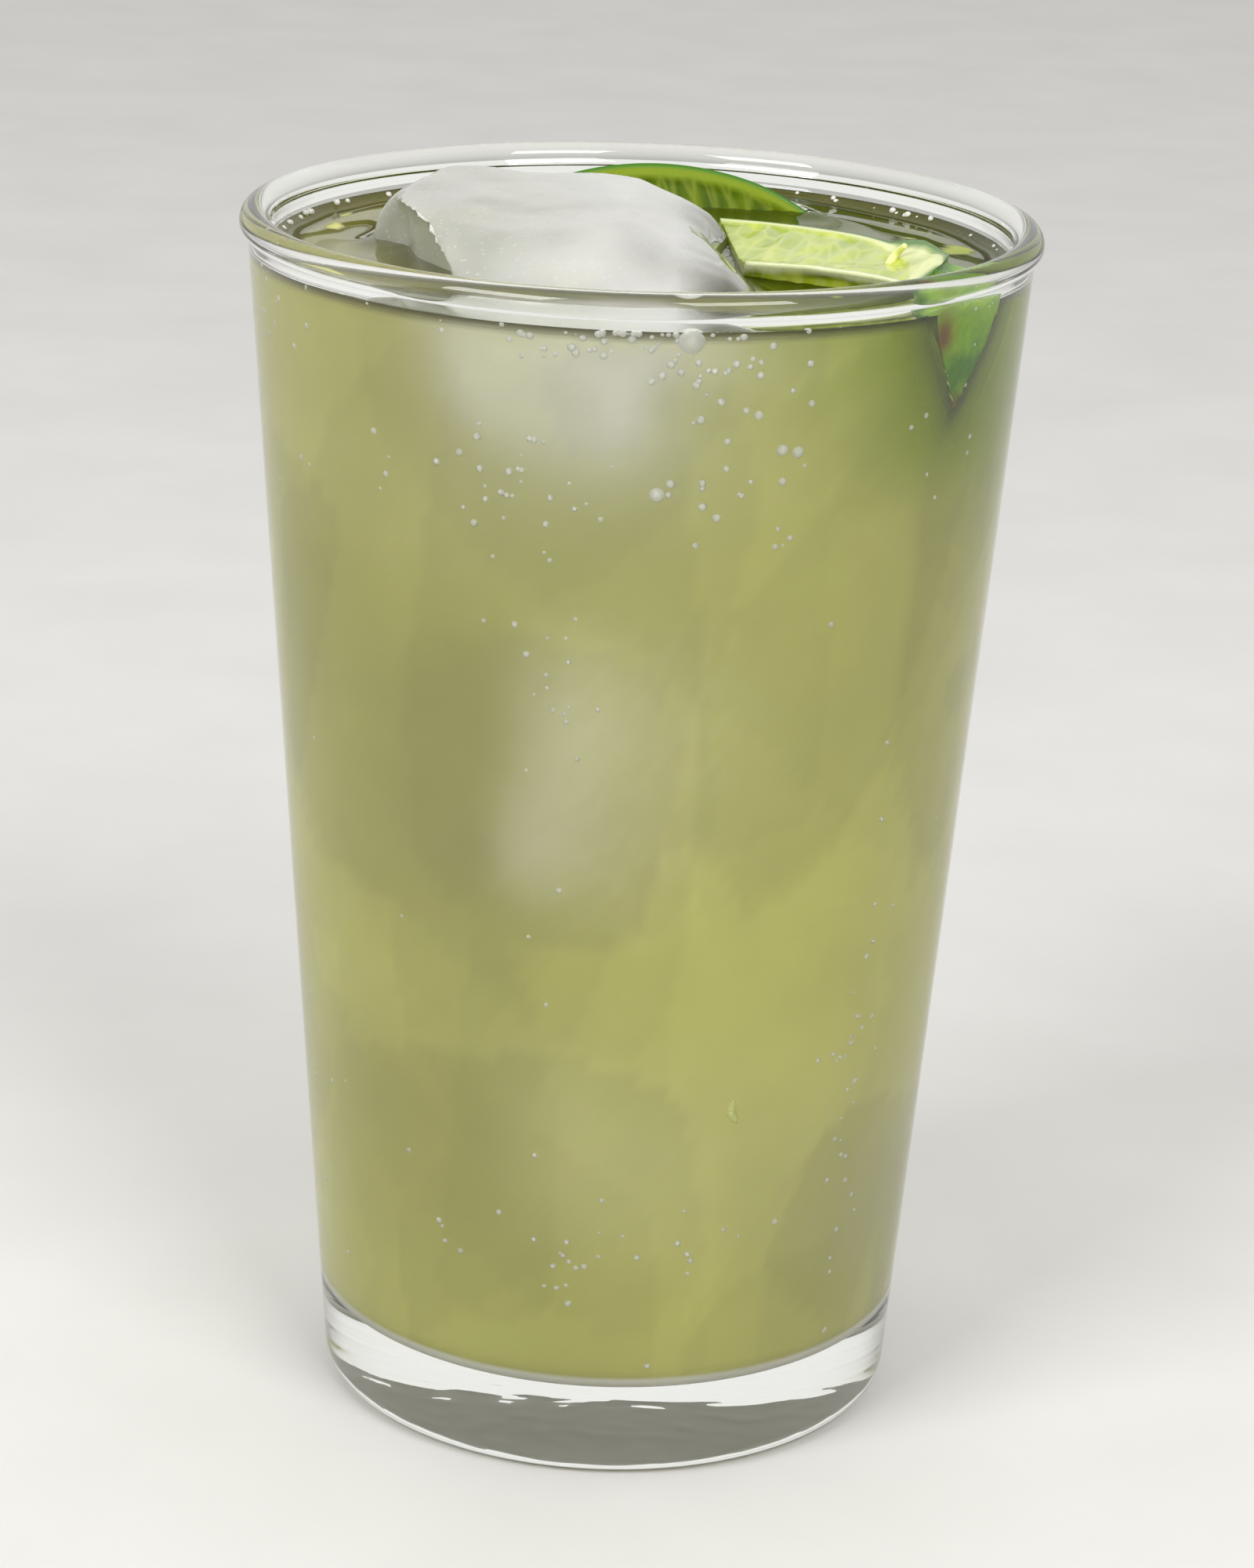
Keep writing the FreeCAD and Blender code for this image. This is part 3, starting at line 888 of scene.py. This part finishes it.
def seen_through(points, normals, sunk, front_lime):
    """What a cloudy drink shows at its skin: things near it keep their colour, deeper ones fade, and painted
    shadow darkens it where ice and lime keep the light from above off it. Round the front lime the drink
    is painted with a green glow, and it is clear where the lime's peel touches the wall."""
    colours, clear = [], []
    rays, spread = 20, 0.50
    glow_reach, peel_reach = 15.0, 1.6
    for n, (p, normal) in enumerate(zip(points, normals)):
        p, normal = Vector(p), -Vector(normal)
        # painted shadow: how much light from above gets past the ice and limes sets how light the drink is
        lit = 0.6 * sunk.daylight(p + normal * 4.0) + 0.4 * sunk.daylight(p + normal * 12.0)
        body = DEEP + (DRINK - DEEP) * (0.12 + 0.88 * lit)
        total = np.zeros(3)
        for way in cone(normal, rays, spread, n * 0.7):
            colour, share = sunk.look(p + way * 0.02, way)
            total += body if colour is None else colour * share + body * (1 - share)
        total /= rays
        spot, _, _, off = front_lime.find_nearest(p)
        glow = 0.97 * math.exp(-(off / glow_reach) ** 2) * unit((p.z - spot.z + 9.0) / 8.0)
        if p.y < 0:
            glow *= unit((p.x - 7.0) / 6.0)
        colours.append(total + (LIME_SEEN - total) * glow)
        clear.append(math.exp(-off / peel_reach))
    return np.array(colours), np.array(clear)


def drink_paint():
    """Cloudy liquid that shows the layer `seen`, and is clearer where the layer `near` is high."""
    paint = Paint("drink_cloudy")
    swirl = paint.noise(paint.object_place(), 55.0, 2.0, 0.55)
    near = paint.layer("near")
    shade = paint.span(swirl, 0.3, 0.7, 0.93, 1.06)
    paint.feed(paint.mix(1.0, paint.layer("seen", "Color"), shade, "MULTIPLY"), "Base Color")
    paint.feed(paint.span(near, 0.0, 1.0, 0.06, 0.95), "Transmission Weight")
    paint.feed(paint.span(near, 0.1, 0.45, 0.32, 0.03), "Roughness")
    paint.set(IOR=1.34)
    paint.absorb((0.84, 0.82, 0.34), 20.0)
    return paint


def make_drink(ice, blocks, limes):
    drink = lathe("drink_body", drink_profile(), TURNS)
    # how each block looks from outside, in the order in which they are made
    kinds = ["ice_mid", "ice_far", "ice_low", "ice_far"]
    sunk = Sunk([(ice, "ice_top")] + list(zip(blocks, kinds)) + [(lime, "lime") for lime in limes])
    trees = [tree_of(obj) for obj in (ice, *limes)]
    points = points_of(drink)
    for p in points:
        r = math.hypot(p[0], p[1])
        if p[2] >= LEVEL - 0.001 and r < inside(LEVEL) - 0.3:
            # the surface climbs a little at whatever breaks it
            lift = 0.0
            for tree in trees:
                off = tree.find_nearest(Vector(p))[3]
                lift = max(lift, CLIMB * math.exp(-off / CLIMB_REACH))
            p[2] += lift + SWAY * wander(p, 6.0, 3.3)
    move_points(drink, points)

    front_lime = trees[1]
    colours, clear = seen_through(points, normals_of(drink), sunk, front_lime)
    top = points[:, 2] > LEVEL - 0.01
    # painted shade: the bare surface, which no wall covers, gets the darkening that the wall gives the drink
    # behind it
    colours[top] = SURFACE_SHADE * PASSED * colours[top] / (1 - SENT_BACK * colours[top])
    # painted shade in a band at the wall
    ring_shade_mask = top & (np.hypot(points[:, 0], points[:, 1]) > inside(LEVEL) - WALL_RING_SHADE_WIDTH)
    colours[ring_shade_mask] *= WALL_RING_SHADE
    colours[points[:, 2] < FLOOR + 1.2] = BOTTOM
    clear[top] = np.maximum(clear[top], SURFACE_CLEAR)
    colour_layer(drink, "seen", colours)
    value_layer(drink, "near", clear)
    wear(drink, drink_paint())
    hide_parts("drink")
    return drink


# ---------------------------------------------------------------- bubbles and bits

def beads(name, spots, segments=14):
    """One piece of many small balls, each (x, y, z, radius)."""
    points, faces = [], []
    rings = segments // 2
    for x, y, z, radius in spots:
        first = len(points)
        points.append((x, y, z - radius))
        for i in range(1, rings):
            a = math.pi * i / rings
            for k in range(segments):
                b = 2 * math.pi * k / segments
                points.append((x + radius * math.sin(a) * math.cos(b), y + radius * math.sin(a) * math.sin(b),
                               z - radius * math.cos(a)))
        points.append((x, y, z + radius))
        faces += ring_faces(rings - 1, segments, first, len(points) - 1, first + 1)
    return put(name, points, faces)


def on_wall(turn, up, radius, sink):
    """A ball against the inside of the wall; turn in degrees from the front, to the right."""
    a = math.radians(turn - 90)
    r = inside(up) + INTO_WALL - sink
    return (r * math.cos(a), r * math.sin(a), up, radius)


def wall_bubbles():
    """Patches of small bubbles on the wall, and a ring of them round the surface."""
    dice = random.Random(11)
    spots = []

    def patch(count, turn, spread, up, high, small, large):
        """So many bubbles scattered about a turn and a height, with radii from small to large."""
        for _ in range(count):
            t = dice.gauss(turn, spread)
            u = max(FLOOR + 3, min(LEVEL + 0.6, dice.gauss(up, high)))
            spots.append(on_wall(t, u, dice.uniform(small, large), 0.05))

    # in front, from the surface down, then the right edge, low in front and the left edge
    patch(42, -7, 8, 115.0, 1.3, 0.18, 0.42)
    patch(26, 13, 6, 113.3, 2.2, 0.18, 0.42)
    patch(32, -17, 7, 102.3, 3.4, 0.15, 0.40)
    patch(16, 15, 6, 102.7, 2.8, 0.18, 0.45)
    patch(16, -9, 4, 81.5, 5.0, 0.15, 0.36)
    patch(34, 48, 3, 44, 14.0, 0.18, 0.34)
    patch(30, -1, 12, 23.5, 3.0, 0.18, 0.36)
    patch(16, -68, 5, 113, 3.0, 0.15, 0.35)
    # a thin scatter all round
    for turn in range(0, 360, 60):
        patch(12, turn + 30, 24, 103, 9.0, 0.15, 0.35)
        patch(8, turn, 24, 40, 24.0, 0.15, 0.32)
    for _ in range(150):
        turn = dice.uniform(0, 360)
        up = LEVEL + 0.55 + dice.uniform(-0.5, 0.25)
        spots.append(on_wall(turn, up, dice.uniform(0.15, 0.4), 0.3))
    return beads("bubbles_wall", spots)


def large_bubbles():
    """The few large ones: two at the surface, the others below it."""
    spots = [on_wall(7.5, 115.6, 1.45, 0.8), on_wall(3.5, 101.2, 0.75, 0.3), on_wall(22.0, 105.2, 0.6, 0.2),
             on_wall(24.5, 104.9, 0.6, 0.2), on_wall(61.0, 116.0, 1.5, 1.4), on_wall(12.5, 99.0, 0.45, 0.2)]
    return beads("bubbles_large", spots, 28)


def pulp():
    """Crumbs of lime flesh held against the wall: one in front, a few round the glass."""
    dice = random.Random(5)
    spots = []
    # turn round the glass, height and size of each crumb
    crumb_spots = ((22, 39.0, 0.50), (150, 70, 0.35), (205, 44, 0.40), (262, 88, 0.35), (98, 58, 0.35))
    for turn, up, size in crumb_spots:
        # each is a short bent row of balls, thickest in the middle
        lean = dice.uniform(0.2, 0.5)
        for i in range(7):
            along = (i - 3) / 3
            spots.append(on_wall(turn + 1.6 * lean * along + 0.9 * along ** 2, up - 1.1 * along,
                                 size * (1 - 0.55 * along ** 2), 0.1))
    # a loose curl of membrane on the cut face of the front piece
    curl_steps = 8
    for i in range(curl_steps + 1):
        along = i / curl_steps
        x, y, z = 23.4 + 1.5 * along, -5.0 + 1.2 * math.sin(3 * along), 116.2 + 2.2 * along
        spots.append((x, y, z, 0.55 - 0.25 * along))
    crumbs = beads("pulp_crumbs", spots)
    paint = Paint("pulp_pale")
    mottle = paint.noise(paint.object_place(), 700.0, 3.0)
    paint.feed(paint.ramp(mottle, [(0.3, (0.62, 0.66, 0.16)), (0.7, (0.86, 0.86, 0.42))]), "Base Color")
    paint.feed(paint.span(mottle, 0.3, 0.7, 0.25, 0.45), "Roughness")
    wear(crumbs, paint)
    return crumbs


def bubble_paint():
    paint = Paint("bubble_film")
    film = paint.noise(paint.object_place(), 900.0, 2.0)
    paint.feed(paint.ramp(film, [(0.3, (0.90, 0.90, 0.78)), (0.7, (1.0, 1.0, 0.95))]), "Base Color")
    paint.set(Transmission_Weight=0.25, IOR=1.33, Roughness=0.08, Coat_Weight=1.0, Coat_Roughness=0.02)
    return paint


# ---------------------------------------------------------------- room, light, camera

def make_floor():
    side, behind = 6000, 9000
    corners = [(-side, -side / 2, 0), (side, -side / 2, 0), (side, behind, 0), (-side, behind, 0)]
    floor = put("floor", corners, [(0, 1, 2, 3)], smooth=False)
    paint = Paint("floor_pale")
    grain = paint.noise(paint.object_place(), 30.0, 4.0)
    paint.feed(paint.ramp(grain, [(0.3, (0.70, 0.69, 0.67)), (0.7, (0.74, 0.73, 0.71))]), "Base Color")
    paint.set(Roughness=0.7, Specular_IOR_Level=0.2)
    wear(floor, paint)


def make_world():
    """A grey room that gets lighter upwards and towards the back."""
    world = bpy.data.worlds.new("studio")
    bpy.context.scene.world = world
    world.use_nodes = True
    tree = world.node_tree
    back = tree.nodes["Background"]
    kinds = ("TexCoord", "SeparateXYZ", "ValToRGB", "MapRange", "Math")
    way, split, shade, span, lean = (tree.nodes.new("ShaderNode" + kind) for kind in kinds)
    # 0.8 times up plus one time back, from -1 to 1, picks the shade
    lean.operation = "MULTIPLY_ADD"
    lean.inputs[1].default_value = 0.8
    span.inputs["From Min"].default_value = -1.0
    for source, target in ((way.outputs["Generated"], split.inputs["Vector"]),
                           (split.outputs["Z"], lean.inputs[0]), (split.outputs["Y"], lean.inputs[2]),
                           (lean.outputs["Value"], span.inputs["Value"]),
                           (span.outputs["Result"], shade.inputs["Fac"]),
                           (shade.outputs["Color"], back.inputs["Color"])):
        tree.links.new(source, target)
    stops = shade.color_ramp.elements
    stops.new(0.70)
    shades = ((0.25, (0.36, 0.36, 0.36, 1)), (0.70, (0.48, 0.48, 0.47, 1)), (0.90, (1.0, 0.99, 0.97, 1)))
    for stop, (spot, colour) in zip(stops, shades):
        stop.position = spot
        stop.color = colour
    back.inputs["Strength"].default_value = 0.9


def lamp(name, at, power):
    """A soft lamp aimed at the glass; places in metres."""
    aim = Vector((0, 0, 0.07))
    data = bpy.data.lights.new(name, "AREA")
    data.shape = "RECTANGLE"
    data.size, data.size_y = 0.55, 0.45
    data.energy = power
    obj = bpy.data.objects.new(name, data)
    bpy.context.scene.collection.objects.link(obj)
    obj.location = at
    obj.rotation_mode = "QUATERNION"
    obj.rotation_quaternion = (aim - Vector(at)).to_track_quat("-Z", "Y")


def make_lights():
    lamp("key", (0.45, -0.75, 0.80), 6.8)
    lamp("fill", (-0.60, -0.65, 0.70), 7.2)


# in metres and degrees: a long lens in front of the glass, a little rolled, that looks down on the rim
CAMERA_AT = (0, -0.4161, 0.2001)
CAMERA_PITCH = 71.61
CAMERA_ROLL = 1.99


def make_camera():
    data = bpy.data.cameras.new("camera")
    data.lens = 100.8
    data.sensor_width = 36.0
    data.shift_x = 0.0028
    data.shift_y = 0.0025
    data.clip_start = 0.01
    camera = bpy.data.objects.new("camera", data)
    bpy.context.scene.collection.objects.link(camera)
    pitch = Matrix.Rotation(math.radians(CAMERA_PITCH), 4, "X")
    roll = Matrix.Rotation(math.radians(CAMERA_ROLL), 4, "Z")
    camera.matrix_world = Matrix.Translation(Vector(CAMERA_AT)) @ (pitch @ roll)
    bpy.context.scene.camera = camera


# ---------------------------------------------------------------- the scene

make_camera()
make_floor()
make_world()
make_lights()
bpy.context.scene.view_settings.view_transform = "Standard"

tumbler = make_tumbler()
limes = make_limes()
ice_top = make_floating_ice()
sunk = make_sunk_ice()
drink_body = make_drink(ice_top, sunk, limes)
bubbles = (wall_bubbles(), large_bubbles())
film_paint = bubble_paint()
for piece in bubbles:
    wear(piece, film_paint)
crumbs = pulp()

for piece in (tumbler, *limes, ice_top, *sunk, drink_body, *bubbles, crumbs):
    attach(piece, "root")
